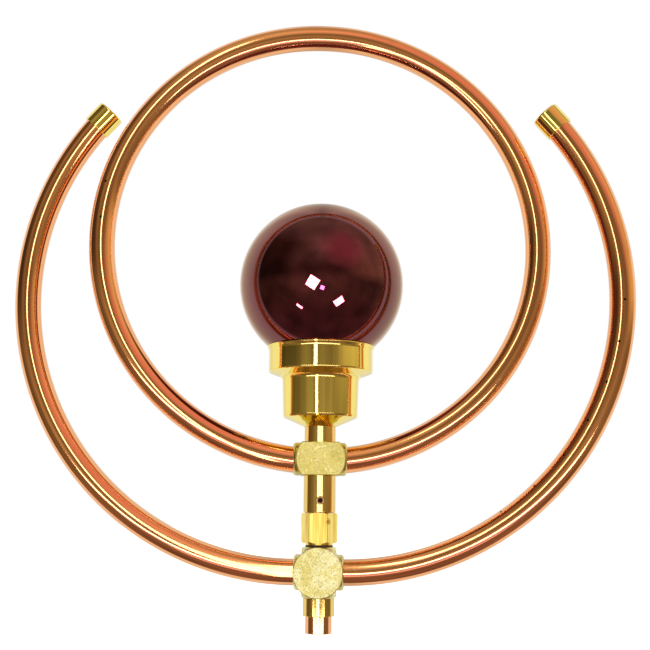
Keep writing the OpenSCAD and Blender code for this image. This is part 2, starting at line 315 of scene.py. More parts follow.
def corner_data(mesh):
    """Position and face normal of every face corner."""
    loops = np.empty(len(mesh.loops), np.int64)
    mesh.loops.foreach_get("vertex_index", loops)
    co = np.empty(len(mesh.vertices) * 3)
    mesh.vertices.foreach_get("co", co)
    flat = np.empty(len(mesh.polygons) * 3)
    mesh.polygons.foreach_get("normal", flat)
    count = np.empty(len(mesh.polygons), np.int64)
    mesh.polygons.foreach_get("loop_total", count)
    return co.reshape(-1, 3)[loops], np.repeat(flat.reshape(-1, 3), count, axis=0)


def set_normals(obj, surfaces):
    """Gives obj the exact normals of the turned surfaces it was carved from, and flat ones elsewhere."""
    mesh = obj.data
    mesh.shade_smooth()
    points, flat = corner_data(mesh)
    out = flat.copy()
    missing = np.full(len(points), True)
    for runs, place in surfaces:
        n = find_normals(points, flat, runs, place)
        use = missing & ~np.isnan(n[:, 0])
        out[use] = n[use]
        missing &= ~use
    mesh.normals_split_custom_set([tuple(v) for v in out])
    return obj


def dress(obj, finish, body, node):
    """Turns a finished piece with its body, gives it its finish and hides the node that it stands for."""
    obj.data.transform(Matrix.Rotation(BODY_TURN[body], 4, "Z"))
    obj.data.materials.clear()
    obj.data.materials.append(bpy.data.materials[finish])
    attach(obj, body)
    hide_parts(node)
    return obj


def lit_by(obj, group):
    """Lets a piece catch a group's own lights. The ball, the hubs and the hexagon miss the metal's strips."""
    bpy.data.collections[group].objects.link(obj)
    if group in ("glass", "faces"):
        strips = bpy.data.collections["metal"]
        strips.objects.link(obj)
        strips.collection_objects[-1].light_linking.link_state = "EXCLUDE"


def tool(name, radius, start, end, place, steps=64):
    """A plain cylinder to cut with."""
    return turned(name, rounded([(0, start), (radius, start), (radius, end), (0, end)]), steps, place)


# Shader helpers

class Graph:
    """A short way to add and join nodes in one tree."""

    def __init__(self, tree):
        self.tree = tree

    def add(self, kind, inputs=None, **values):
        """A node with its own settings in values, and its inputs set or joined."""
        node = self.tree.nodes.new(kind)
        for key, value in values.items():
            setattr(node, key, value)
        for key, value in (inputs or {}).items():
            self.set(node.inputs[key], value)
        return node

    def set(self, socket, value):
        if isinstance(value, bpy.types.NodeSocket):
            self.tree.links.new(value, socket)
        elif isinstance(value, bpy.types.Node):
            self.tree.links.new(value.outputs[0], socket)
        else:
            socket.default_value = value

    def math(self, operation, *values, clamp=False):
        node = self.add("ShaderNodeMath", operation=operation, use_clamp=clamp)
        for i, v in enumerate(values):
            self.set(node.inputs[i], v)
        return node.outputs[0]

    def plus(self, *values):
        out = values[0]
        for v in values[1:]:
            out = self.math("ADD", out, v)
        return out

    def minus(self, a, b, clamp=False):
        return self.math("SUBTRACT", a, b, clamp=clamp)

    def times(self, a, b, clamp=False):
        return self.math("MULTIPLY", a, b, clamp=clamp)

    def mix(self, factor, a, b, blend="MIX"):
        node = self.add("ShaderNodeMix", data_type="RGBA", blend_type=blend)
        self.set(node.inputs[0], factor)
        self.set(node.inputs[6], a)
        self.set(node.inputs[7], b)
        return node.outputs[2]

    def ramp(self, factor, *stops):
        node = self.add("ShaderNodeValToRGB", {"Fac": factor})
        stretch = node.color_ramp.elements
        while len(stretch) < len(stops):
            stretch.new(0.5)
        for element, (at, value) in zip(stretch, stops):
            element.position = at
            element.color = (*value, 1) if len(np.shape(value)) else (value, value, value, 1)
        return node.outputs[0]

    def span(self, value, low, high, to_low=0.0, to_high=1.0):
        node = self.add("ShaderNodeMapRange", {"Value": value, "From Min": low, "From Max": high,
                                               "To Min": to_low, "To Max": to_high}, clamp=True)
        return node.outputs[0]

    def use(self, group, **inputs):
        """Places a shared effect in a material."""
        return self.add("ShaderNodeGroup", inputs, node_tree=bpy.data.node_groups[group])


def rgba(colour, k=1.0):
    """A linear colour with alpha, scaled by k."""
    return (colour[0] * k, colour[1] * k, colour[2] * k, 1)


def new_group(name, inputs, outputs):
    """A shader node group with named sockets: ((name, kind, default), ...)."""
    tree = bpy.data.node_groups.new(name, "ShaderNodeTree")
    for label, kind, value in inputs:
        s = tree.interface.new_socket(label, in_out="INPUT", socket_type="NodeSocket" + kind)
        if value is not None:
            s.default_value = value
    for label, kind in outputs:
        tree.interface.new_socket(label, in_out="OUTPUT", socket_type="NodeSocket" + kind)
    g = Graph(tree)
    return g, g.add("NodeGroupInput").outputs, g.add("NodeGroupOutput").inputs


def make_groups():
    """The effects that several finishes share."""
    g, i, o = new_group("Tarnish Clouds", (("Vector", "Vector", None), ("Scale", "Float", 40.0),
                                            ("Amount", "Float", 0.5)), (("Mask", "Float"),))
    broad = g.add("ShaderNodeTexNoise", {"Vector": i["Vector"], "Scale": i["Scale"], "Detail": 6.0,
                                         "Roughness": 0.62})
    fine_scale = g.times(i["Scale"], 7.3)
    fine = g.add("ShaderNodeTexNoise", {"Vector": i["Vector"], "Scale": fine_scale, "Detail": 4.0})
    both = g.plus(g.times(broad, 0.72), g.times(fine, 0.28))
    edge = g.minus(0.74, g.times(i["Amount"], 0.4))
    soft = g.math("DIVIDE", g.minus(both, edge), 0.16, clamp=True)
    g.set(o["Mask"], soft)

    g, i, o = new_group("Fine Scratches", (("Vector", "Vector", None), ("Scale", "Float", 300.0),
                                            ("Amount", "Float", 0.5)), (("Mask", "Float"),))
    marks = None
    for n, turn in enumerate((0.3, 1.35, 2.2)):
        turned_by = g.add("ShaderNodeMapping", {"Vector": i["Vector"], "Rotation": (turn, turn * 0.7, turn),
                                                "Scale": (1.0, 0.035, 1.0)})
        grain = g.add("ShaderNodeTexNoise", {"Vector": turned_by, "Scale": i["Scale"], "Detail": 1.0})
        off = g.math("ABSOLUTE", g.minus(grain, 0.62 - 0.03 * n))
        hair = g.minus(1.0, g.times(off, 60.0), clamp=True)
        marks = hair if marks is None else g.math("MAXIMUM", marks, hair)
    g.set(o["Mask"], g.times(marks, i["Amount"]))

    g, i, o = new_group("Pits", (("Vector", "Vector", None), ("Scale", "Float", 400.0),
                                  ("Size", "Float", 0.25)), (("Mask", "Float"), ("Height", "Float")))
    cells = g.add("ShaderNodeTexVoronoi", {"Vector": i["Vector"], "Scale": i["Scale"], "Randomness": 1.0})
    pick = g.math("GREATER_THAN", g.add("ShaderNodeSeparateColor", {"Color": cells.outputs["Color"]}), 0.55)
    dot = g.minus(1.0, g.math("DIVIDE", cells.outputs["Distance"], i["Size"]), clamp=True)
    hit = g.times(dot, pick)
    g.set(o["Mask"], g.times(hit, 2.2, clamp=True))
    g.set(o["Height"], g.times(hit, -1.0))

    g, i, o = new_group("Drawn Lines", (("Vector", "Vector", None), ("Stretch", "Vector", (1, 1, 0.02)),
                                         ("Scale", "Float", 900.0)), (("Value", "Float"),))
    along = g.add("ShaderNodeVectorMath", {0: i["Vector"], 1: i["Stretch"]}, operation="MULTIPLY")
    streak = g.add("ShaderNodeTexNoise", {"Vector": along, "Scale": i["Scale"], "Detail": 3.0,
                                          "Roughness": 0.7})
    g.set(o["Value"], streak.outputs[0])


def new_finish(name, **fixed):
    """A material's graph, its Principled shader with the fixed values, and the texture coordinates."""
    mat = bpy.data.materials.new(name)
    mat.use_nodes = True
    mat.node_tree.nodes.clear()
    g = Graph(mat.node_tree)
    shader = g.add("ShaderNodeBsdfPrincipled")
    for key, value in fixed.items():
        shader.inputs[key.replace("_", " ")].default_value = value
    g.add("ShaderNodeOutputMaterial", {"Surface": shader})
    return g, shader, g.add("ShaderNodeTexCoord").outputs


def paint(g, shader, colour, rough, height, strength, distance):
    """Feeds a colour, a roughness and a bump to the shader."""
    node = g.add("ShaderNodeBump", {"Height": height, "Strength": strength, "Distance": distance})
    for key, value in (("Base Color", colour), ("Roughness", rough), ("Normal", node)):
        g.set(shader.inputs[key], value)


def finish_copper(c):
    """Polished drawn copper: soft tarnish, lines along the tube and heat colour at the joints."""
    g, shader, where = new_finish("Polished Copper", Metallic=1.0, Specular_IOR_Level=0.5)
    spot = where["Object"]
    clouds = g.use("Tarnish Clouds", Vector=spot, Scale=34.0, Amount=0.42)
    spots = g.use("Tarnish Clouds", Vector=spot, Scale=210.0, Amount=0.2)
    lines = g.use("Drawn Lines", Vector=where["UV"], Stretch=(0.012, 1.0, 1.0), Scale=2600.0)
    heat = g.add("ShaderNodeAttribute", attribute_name="heat").outputs["Fac"]
    base = g.mix(g.times(clouds, 0.30), rgba(c.copper), rgba(c.copper_tarnish))
    base = g.mix(g.times(spots, 0.22), base, rgba(c.copper_tarnish, 0.8))
    base = g.mix(g.times(heat, 0.55), base, (0.62, 0.25, 0.24, 1))
    rough = g.plus(0.09, g.times(clouds, 0.06), g.times(g.span(lines, 0.35, 0.75), 0.04),
                   g.times(heat, 0.12))
    wave = g.add("ShaderNodeTexNoise", {"Vector": spot, "Scale": 28.0, "Detail": 1.0})
    paint(g, shader, base, rough, g.plus(g.times(lines, 0.004), wave), 0.30, 0.00035)


def finish_brass(name, colour, darkened, rough, tarnish, ring_marks):
    """Turned brass: tarnish clouds, faint lathe rings and hairline scratches."""
    g, shader, where = new_finish(name, Metallic=1.0)
    spot = where["Object"]
    clouds = g.use("Tarnish Clouds", Vector=spot, Scale=60.0, Amount=tarnish)
    hairs = g.use("Fine Scratches", Vector=spot, Scale=260.0, Amount=0.6)
    height_z = g.add("ShaderNodeSeparateXYZ", {"Vector": spot}).outputs["Z"]
    rings = g.add("ShaderNodeTexNoise", {"W": height_z, "Scale": 2400.0, "Detail": 2.0},
                  noise_dimensions="1D")
    base = g.mix(g.times(clouds, 0.55), rgba(colour), rgba(darkened))
    base = g.mix(g.times(hairs, 0.12), base, rgba(colour, 1.1))
    rough = g.plus(rough, g.times(clouds, 0.10), g.times(hairs, 0.08))
    paint(g, shader, base, rough, g.plus(g.times(rings, ring_marks), g.times(hairs, -0.05)), 0.5, 0.0001)


def finish_hub(name, c, pale, pits):
    """A hub's dull brass face: pale blotches, specks, dings and scratches."""
    g, shader, where = new_finish(name, Metallic=1.0)
    spot = where["Object"]
    blotch = g.use("Tarnish Clouds", Vector=spot, Scale=110.0, Amount=0.75)
    specks = g.use("Pits", Vector=spot, Scale=900.0, Size=0.42)
    small = g.use("Pits", Vector=spot, Scale=2300.0, Size=0.45)
    hairs = g.use("Fine Scratches", Vector=spot, Scale=170.0, Amount=0.9)
    base = g.mix(blotch, rgba(c.hub_face), pale)
    marks = g.math("MAXIMUM", specks.outputs["Mask"], small.outputs["Mask"])
    base = g.mix(g.times(marks, pits), base, (0.30, 0.30, 0.16, 1))
    base = g.mix(g.times(hairs, 0.45), base, (1.0, 0.93, 0.50, 1))
    rough = g.plus(0.24, g.times(blotch, 0.14), g.times(hairs, -0.08))
    height = g.plus(g.times(specks.outputs["Height"], 0.6), g.times(hairs, -0.5), g.times(blotch, 0.25))
    paint(g, shader, base, rough, height, 0.6, 0.00012)


def finish_hexagon(c):
    """Satin brass with lines drawn along the bar and one brown stain."""
    g, shader, where = new_finish("Hexagon Brass", Metallic=1.0)
    spot = where["Object"]
    lines = g.use("Drawn Lines", Vector=spot, Stretch=(1.0, 1.0, 0.03), Scale=1500.0)
    broad = g.use("Drawn Lines", Vector=spot, Stretch=(1.0, 1.0, 0.05), Scale=420.0)
    clouds = g.use("Tarnish Clouds", Vector=spot, Scale=90.0, Amount=0.35)
    band = g.span(broad, 0.38, 0.66)
    base = g.mix(band, (0.94, 0.76, 0.20, 1), (0.72, 0.42, 0.05, 1))
    base = g.mix(g.times(clouds, 0.4), base, rgba(c.brass_tarnish, 1.2))
    ragged = g.add("ShaderNodeTexNoise", {"Vector": spot, "Scale": 700.0, "Detail": 3.0})
    off = g.add("ShaderNodeVectorMath", {0: spot, 1: STAIN_PLACE}, operation="SUBTRACT")
    flat = g.add("ShaderNodeVectorMath", {0: off, 1: (1.0, 0.35, 0.8)}, operation="MULTIPLY")
    far = g.add("ShaderNodeVectorMath", {0: flat}, operation="LENGTH").outputs["Value"]
    far = g.plus(far, g.times(ragged, 0.0022))
    stain = g.span(far, 0.0018, 0.0029, 1.0, 0.0)
    base = g.mix(g.times(stain, 0.8), base, (0.50, 0.24, 0.04, 1))
    rough = g.plus(0.15, g.times(band, 0.10), g.times(stain, 0.3))
    paint(g, shader, base, rough, g.plus(g.times(lines, 0.5), g.times(broad, 0.8)), 0.5, 0.00008)


def finish_ball(c):
    """Dark red glass with a mirror lining under a clear outer surface."""
    g, shader, where = new_finish("Mirrored Red Glass", Metallic=1.0, Coat_Weight=0.8, Coat_IOR=1.5,
                                  Coat_Roughness=0.0, Specular_Tint=(1.0, 0.74, 0.50, 1.0))
    spot = where["Object"]
    thick = g.add("ShaderNodeTexNoise", {"Vector": spot, "Scale": 22.0, "Detail": 2.0})
    base = g.mix(g.span(thick, 0.35, 0.7), rgba(c.glass), rgba(c.glass, 1.5))
    seeds = g.use("Pits", Vector=spot, Scale=260.0, Size=0.07).outputs
    rough = g.plus(0.035, g.times(seeds["Mask"], 0.3))
    paint(g, shader, base, rough, g.plus(thick, g.times(seeds["Height"], 0.3)), 0.25, 0.0003)


def finish_screw():
    """A browned screw with painted shade in its socket."""
    g, shader, where = new_finish("Tarnished Screw", Metallic=1.0)
    spot = where["Object"]
    clouds = g.use("Tarnish Clouds", Vector=spot, Scale=420.0, Amount=0.6)
    dirt = g.add("ShaderNodeAttribute", attribute_name="dirt").outputs["Fac"]
    base = g.mix(clouds, (0.72, 0.48, 0.24, 1), (0.45, 0.22, 0.10, 1))
    # Painted shade: the socket's vertices are darkened to near black, standing in for shadow in the recess.
    base = g.mix(g.span(dirt, 0.35, 0.95), base, (0.05, 0.02, 0.012, 1))
    paint(g, shader, base, g.plus(0.22, g.times(clouds, 0.2)), clouds, 0.4, 0.00006)


def finish_plain(name, colour, rough, metallic=0.0):
    """Rubber, plastic and plain steel: a mottled colour with a fine grain."""
    g, shader, where = new_finish(name, Metallic=metallic)
    spot = where["Object"]
    clouds = g.use("Tarnish Clouds", Vector=spot, Scale=150.0, Amount=0.5)
    grit = g.add("ShaderNodeTexNoise", {"Vector": spot, "Scale": 500.0, "Detail": 3.0})
    base = g.mix(g.times(clouds, 0.5), rgba(colour), rgba(colour, 0.55))
    paint(g, shader, base, g.span(grit, 0.3, 0.7, rough - 0.08, rough + 0.1), grit, 0.3, 0.00006)


# Bent tubes

def tube_tree():
    """Geometry Nodes: a hollow tube bent in one plane and drilled with a spiral of jets.
    The path is a lead, a bend, a middle straight and a second bend of the same radius."""
    tree = bpy.data.node_groups.new("Bent Jet Tube", "GeometryNodeTree")
    for label, kind, value in (
            ("Start X", "Float", 0.0), ("Start Z", "Float", 0.0), ("Start Angle", "Float", 0.0),
            ("Lead", "Float", 0.0), ("Bend Radius", "Float", 0.1), ("First Sweep", "Float", 1.0),
            ("Middle", "Float", 0.0), ("Second Sweep", "Float", 0.0), ("Tube Radius", "Float", 0.008),
            ("Bore Radius", "Float", 0.007), ("Jets", "Int", 3), ("Jet Radius", "Float", 0.00075),
            ("Jet Start", "Float", 0.1), ("Jet Step", "Float", 0.02), ("Jet Tilt", "Float", 0.0),
            ("Jet Turn", "Float", 0.2), ("Side", "Float", 1.0), ("Stations", "Int", 200),
            ("Around", "Int", 40), ("Material", "Material", None)):
        s = tree.interface.new_socket(label, in_out="INPUT", socket_type="NodeSocket" + kind)
        if value is not None:
            s.default_value = value
    tree.interface.new_socket("Geometry", in_out="OUTPUT", socket_type="NodeSocketGeometry")
    g = Graph(tree)
    i = g.add("NodeGroupInput").outputs
    bend, first, lead, middle = i["Bend Radius"], i["First Sweep"], i["Lead"], i["Middle"]
    first_length = g.times(bend, first)
    total = g.plus(lead, first_length, middle, g.times(bend, i["Second Sweep"]))

    s = g.add("ShaderNodeSeparateXYZ", {0: g.add("GeometryNodeInputPosition")}).outputs["X"]
    on_lead = g.math("MINIMUM", s, lead)
    past_lead = g.minus(s, lead)
    turn_1 = g.math("MINIMUM", g.math("MAXIMUM", g.math("DIVIDE", past_lead, bend), 0.0), first)
    past_first = g.minus(past_lead, first_length)
    on_middle = g.math("MINIMUM", g.math("MAXIMUM", past_first, 0.0), middle)
    turn_2 = g.math("MAXIMUM", g.math("DIVIDE", g.minus(past_first, middle), bend), 0.0)
    a0, a1 = i["Start Angle"], g.plus(i["Start Angle"], first)
    here_1, here_2 = g.plus(a0, turn_1), g.plus(a1, turn_2)
    sin, cos = (lambda a: g.math("SINE", a)), (lambda a: g.math("COSINE", a))

    x = g.plus(i["Start X"], g.times(on_lead, cos(a0)), g.times(on_middle, cos(a1)),
               g.times(bend, g.minus(sin(here_1), sin(a0))), g.times(bend, g.minus(sin(here_2), sin(a1))))
    z = g.plus(i["Start Z"], g.times(on_lead, sin(a0)), g.times(on_middle, sin(a1)),
               g.times(bend, g.minus(cos(a0), cos(here_1))), g.times(bend, g.minus(cos(a1), cos(here_2))))
    place = g.add("ShaderNodeCombineXYZ", {0: x, 2: z})
    heading = g.plus(here_1, turn_2)

    def along(distance):
        return g.add("ShaderNodeCombineXYZ", {0: distance})

    def swept(radius, extra):
        path = g.add("GeometryNodeCurvePrimitiveLine", {"Start": along(-extra),
                                                        "End": along(g.plus(total, extra))})
        path = g.add("GeometryNodeResampleCurve", {"Curve": path, "Count": i["Stations"]})
        path = g.add("GeometryNodeSetPosition", {"Geometry": path, "Position": place})
        ring = g.add("GeometryNodeCurvePrimitiveCircle", {"Resolution": i["Around"], "Radius": radius})
        return g.add("GeometryNodeCurveToMesh", {"Curve": path, "Profile Curve": ring, "Fill Caps": True})

    number = g.add("GeometryNodeInputIndex")
    jet_at = along(g.plus(i["Jet Start"], g.times(number, i["Jet Step"])))
    points = g.add("GeometryNodePoints", {"Count": i["Jets"], "Position": jet_at})
    tilt = g.plus(i["Jet Tilt"], g.times(number, i["Jet Turn"]))
    aim = g.add("ShaderNodeCombineXYZ", {0: g.times(sin(tilt), sin(heading)),
                                         1: g.times(g.times(cos(tilt), i["Side"]), -1.0),
                                         2: g.times(g.times(sin(tilt), cos(heading)), -1.0)})
    aimed = g.add("FunctionNodeAlignRotationToVector", {"Vector": aim}, axis="Z")
    points = g.add("GeometryNodeStoreNamedAttribute", {"Geometry": points, "Name": "aim", "Value": aimed},
                   data_type="QUATERNION")
    points = g.add("GeometryNodeSetPosition", {"Geometry": points, "Position": place})
    drill = g.add("GeometryNodeMeshCylinder", {"Vertices": 20, "Radius": i["Jet Radius"],
                                               "Depth": JET_DEPTH})
    drill = g.add("GeometryNodeTransform", {"Geometry": drill, "Translation": (0, 0, JET_DEPTH / 2)})
    turn = g.add("GeometryNodeInputNamedAttribute", {"Name": "aim"}, data_type="QUATERNION")
    drills = g.add("GeometryNodeInstanceOnPoints", {"Points": points, "Instance": drill, "Rotation": turn})
    drills = g.add("GeometryNodeRealizeInstances", {"Geometry": drills})
    wall = g.add("GeometryNodeMeshBoolean", operation="DIFFERENCE", solver="EXACT")
    g.set(wall.inputs["Mesh 1"], swept(i["Tube Radius"], 0.0))
    for cutter in (swept(i["Bore Radius"], 0.001), drills):
        g.set(wall.inputs["Mesh 2"], cutter)
    out = g.add("GeometryNodeRealizeInstances", {"Geometry": wall})
    out = g.add("GeometryNodeSetMaterial", {"Geometry": out, "Material": i["Material"]})
    g.add("NodeGroupOutput", {"Geometry": out})
    return tree


def bent_tube(name, **values):
    """Runs the bent tube tree and returns its plain mesh object."""
    tree = bpy.data.node_groups.get("Bent Jet Tube") or tube_tree()
    obj = new_object(name, bpy.data.meshes.new(name))
    m = obj.modifiers.new("bent tube", "NODES")
    m.node_group = tree
    named = {s.name: s.identifier for s in tree.interface.items_tree if s.in_out == "INPUT"}
    for key, value in values.items():
        m[named[key.replace("_", " ").title()]] = value
    return plain_mesh(obj)


def follow_tube(obj, centre_x, centre_z, bend, half, radius, joints):
    """Exact normals, a map along and around the tube, and heat colour near the joints.
    The middle line is straight while x is inside centre_x, and elsewhere bends round (centre_x, centre_z).
    half is not used."""
    mesh = obj.data
    mesh.shade_smooth()
    points, flat = corner_data(mesh)
    side = np.where(points[:, 0] > 0, 1.0, -1.0)
    dx = points[:, 0] * side - centre_x
    dz = points[:, 2] - centre_z
    straight = dx < 0
    dx = np.where(straight, 0, dx)
    far = np.hypot(dx, dz)
    outward = np.stack((dx / far * side, dz / far), axis=1)
    off = far - bend
    normal = np.stack((outward[:, 0] * off, points[:, 1], outward[:, 1] * off), axis=1)
    length = np.linalg.norm(normal, axis=1)
    normal /= np.maximum(length, 1e-9)[:, None]
    sense = np.where(length > radius - 0.0005, 1.0, -1.0)
    normal *= sense[:, None]
    on_wall = np.abs((normal * flat).sum(axis=1)) > 0.9
    out = np.where(on_wall[:, None], normal, flat)
    mesh.normals_split_custom_set([tuple(v) for v in out])
    angle = np.arctan2(dx * side, -dz)
    around = np.arctan2(points[:, 1], off)
    uv = mesh.uv_layers.new(name="UVMap")
    uv.data.foreach_set("uv", np.stack((angle * bend, around * radius), axis=1).astype(np.float32).ravel())
    co = np.array([v.co for v in mesh.vertices])
    near = np.full(len(co), 1e9)
    for at in joints:
        near = np.minimum(near, np.linalg.norm(co - np.array(at), axis=1))
    heat = np.clip(1 - (near - 0.012) / 0.022, 0, 1) ** 1.5
    layer = mesh.attributes.new("heat", "FLOAT", "POINT")
    layer.data.foreach_set("value", heat.astype(np.float32))
    return obj


class PieceOperator:
    """What the operators share: they finish or raise."""
    bl_options = {"REGISTER", "UNDO"}

    def execute(self, context):
        self.make(*settings())
        return {"FINISHED"}


class SCULPTURE_OT_finishes(PieceOperator, bpy.types.Operator):
    """Build every finish"""
    bl_idname = "sculpture.finishes"
    bl_label = "Finishes"

    def make(self, tubes, hubs, ball, c):
        make_groups()
        finish_copper(c)
        finish_brass("Mirror Brass", c.brass, c.brass_tarnish, rough=0.035, tarnish=0.12, ring_marks=0.006)
        finish_brass("Turned Brass", c.turned_brass, c.brass_tarnish, rough=0.08, tarnish=0.35,
                     ring_marks=0.03)
        finish_hub("Upper Hub Brass", c, (0.72, 0.63, 0.17, 1), 0.22)
        finish_hub("Lower Hub Brass", c, (1.0, 0.97, 0.56, 1), 0.75)
        finish_hexagon(c)
        finish_ball(c)
        finish_screw()
        finish_plain("Plain Steel", (0.55, 0.55, 0.54), 0.3, 1.0)
        finish_plain("Black Rubber", (0.02, 0.02, 0.02), 0.6)
        finish_plain("White Washer", (0.82, 0.80, 0.74), 0.45)


class SCULPTURE_OT_rings(PieceOperator, bpy.types.Operator):
    """Make the closed copper ring and both arms of the open ring, drilled with jets"""
    bl_idname = "sculpture.rings"
    bl_label = "Copper rings"

    def make(self, tubes, hubs, ball, c):
        copper = bpy.data.materials["Polished Copper"]
        shared = dict(tube_radius=tubes.tube_radius, bore_radius=tubes.bore_radius,
                      jet_radius=tubes.jet_radius, around=40, material=copper)
        seat, in_cap, ring_end = 8.0 * MM, 5.65 * MM, 9.3 * MM
        for name, node, turn, sweep in (("right_arm_tube", "right_arm", 0, tubes.right_cap),
                                        ("left_arm_tube", "left_arm", math.pi, tubes.left_cap)):
            obj = bent_tube(name, start_x=seat, start_z=hubs.lower_z, lead=hubs.radius - seat,
                            bend_radius=tubes.arm_bend, stations=220,
                            first_sweep=sweep + in_cap / tubes.arm_bend, jets=tubes.arm_jets,
                            jet_start=hubs.radius - seat + ARM_JETS["first"] * tubes.arm_bend,
                            jet_step=ARM_JETS["step"] * tubes.arm_bend, jet_tilt=ARM_JETS["tilt"],
                            jet_turn=ARM_JETS["turn"], side=1.0, **shared)
            obj.data.transform(Matrix.Rotation(turn, 4, "Z"))
            side = math.cos(turn)
            cap = (side * (hubs.radius + tubes.arm_bend * math.sin(sweep)), 0,
                   hubs.lower_z + tubes.arm_bend * (1 - math.cos(sweep)))
            follow_tube(obj, hubs.radius, hubs.lower_z + tubes.arm_bend, tubes.arm_bend, hubs.radius,
                        tubes.tube_radius, [(side * hubs.radius, 0, hubs.lower_z), cap])
            dress(obj, "Polished Copper", "c_rotor", node)
        centre_z = RING_LOW + tubes.ring_bend
        end = math.asin(ring_end / tubes.ring_bend)
        half = tubes.ring_straight
        sweep = math.pi - end
        obj = bent_tube("ring_copper", start_x=half + tubes.ring_bend * math.sin(end),
                        start_z=centre_z - tubes.ring_bend * math.cos(end), start_angle=end,
                        bend_radius=tubes.ring_bend, first_sweep=sweep, middle=2 * half,
                        second_sweep=sweep, stations=360, jets=tubes.ring_jets,
                        jet_start=(RING_JETS["first"] - end) * tubes.ring_bend,
                        jet_step=RING_JETS["step"] * tubes.ring_bend, jet_tilt=RING_JETS["tilt"],
                        jet_turn=RING_JETS["turn"], side=-1.0, **shared)
        carve(obj, ("DIFFERENCE", self.far_jets(tubes, centre_z, half)))
        follow_tube(obj, half, centre_z, tubes.ring_bend, half, tubes.tube_radius,
                    [(16 * MM, 0, hubs.upper_z), (-16 * MM, 0, hubs.upper_z)])
        dress(obj, "Polished Copper", "ring_rotor", "ring_tube")

    def far_jets(self, tubes, centre_z, half):
        """Drills for the left half's jets, which leave at the front."""
        bits = None
        for n in range(tubes.ring_jets):
            sweep = RING_JETS["first"] + RING_JETS["step"] * n
            tilt = RING_JETS["tilt"] + RING_JETS["turn"] * n
            place = (Matrix.Rotation(math.pi, 4, "Z") @ Matrix.Translation((half, 0, centre_z))
                     @ Matrix.Rotation(math.pi / 2 - sweep, 4, "Y")
                     @ Matrix.Translation((tubes.ring_bend, 0, 0))
                     @ Matrix.Rotation(-tilt, 4, "Z") @ Matrix.Rotation(-math.pi / 2, 4, "X"))
            bit = tool("bit", tubes.jet_radius, 0, JET_DEPTH, place, 20)
            if bits is None:
                bits = bit
            else:
                carve(bits, ("UNION", bit))
        return bits


class SCULPTURE_OT_stem(PieceOperator, bpy.types.Operator):
    """Make the stem pipe"""
    bl_idname = "sculpture.stem"
    bl_label = "Stem pipe"

    def make(self, tubes, hubs, ball, c):
        out, bore = tubes.tube_radius / MM, tubes.bore_radius / MM
        runs = mm_outline([(bore, 0, 0.3), (out, 0, 0.25), (out, 10.9, 0.2), (bore, 10.9)], 4)
        obj = turned("stem_copper", runs)
        layer = obj.data.attributes.new("heat", "FLOAT", "POINT")
        layer.data.foreach_set("value", [0.5 * min(max(v.co.z / (8 * MM), 0), 1) for v in obj.data.vertices])
        uv = obj.data.uv_layers.new(name="UVMap")
        for loop, corner in zip(obj.data.loops, uv.data):
            co = obj.data.vertices[loop.vertex_index].co
            corner.uv = (co.z, math.atan2(co.y, co.x) * tubes.tube_radius)
        lit_by(dress(obj, "Polished Copper", "stem", "stem_pipe"), "lower_tube")


class SCULPTURE_OT_swivels(PieceOperator, bpy.types.Operator):
    """Make both turned sleeves and the screws that hold them on"""
    bl_idname = "sculpture.swivels"
    bl_label = "Sleeves and screws"

    def make(self, tubes, hubs, ball, c):
        for name, node, screw_node, body, lights, corners, screw in (
                ("lower_sleeve_brass", "lower_sleeve", "lower_set_screw", "c_rotor", "lower_tube",
                 [(8.6, 10, 0.15), (9.5, 10, 0.35), (9.5, 20.5, 0.2), (7.5, 20.5), (7.5, 28.5, 0.2),
                  (6.05, 28.5), (6.05, 11.75), (8.6, 11.75)], (2.0, 9.5, 15.6, 180)),
                ("upper_sleeve_brass", "upper_sleeve", "upper_set_screw", "ring_rotor", "sleeves",
                 [(8.75, 70.95, 0.15), (9.7, 70.95, 0.35), (9.7, 93, 0.2), (7.5, 93), (7.5, 98.5, 0.2),
                  (6.05, 98.5), (6.05, 71.55), (8.75, 71.55)], (2.5, 9.7, 78.1, 0))):
            runs = mm_outline(corners)
            radius, outside, height, turn = screw
            hole = (Matrix.Translation((0, 0, height * MM)) @ Matrix.Rotation(math.radians(turn), 4, "Z")
                    @ Matrix.Rotation(math.pi / 2, 4, "X"))
            obj = turned(name, runs, 160)
            bore = rounded([(0, 2 * MM), ((radius + 0.05) * MM, 2 * MM), ((radius + 0.05) * MM, 9 * MM),
                            ((radius + 0.22) * MM, 11.0 * MM), (0, 11.0 * MM)])
            carve(obj, ("DIFFERENCE", turned("bore", bore, 64, hole)))
            set_normals(obj, [(runs, AXES["Z"]), (inside_out(bore), hole)])
            lit_by(dress(obj, "Turned Brass", body, node), lights)
            self.screw(screw_node, radius, outside, hole, body)

    def screw(self, node, radius, outside, hole, body):
        """A headless screw: chamfered end, hexagon socket and a dog point in the groove."""
        end, point, socket = outside - 0.3, radius * 0.6, radius * 0.56
        runs = mm_outline([(0, 5.2), (point, 5.2, 0.15), (point, 6.1), (radius, 6.1, 0.15),
                           (radius, end, 0.3), (0, end)], 3)
        obj = turned(node.replace("set_screw", "grub_screw"), runs, 64, hole)
        carve(obj, ("DIFFERENCE", tool("socket", socket * MM, (end - 1.6) * MM, (end + 1) * MM, hole, 6)))
        set_normals(obj, [(runs, hole)])
        back = hole.inverted()
        # Marks the vertices near the axis, where the socket is, for the painted shade that darkens it.
        dirt = obj.data.attributes.new("dirt", "FLOAT", "POINT")
        dirt.data.foreach_set("value", [float((back @ v.co).xy.length < point * MM)
                                        for v in obj.data.vertices])
        dress(obj, "Tarnished Screw", body, node)


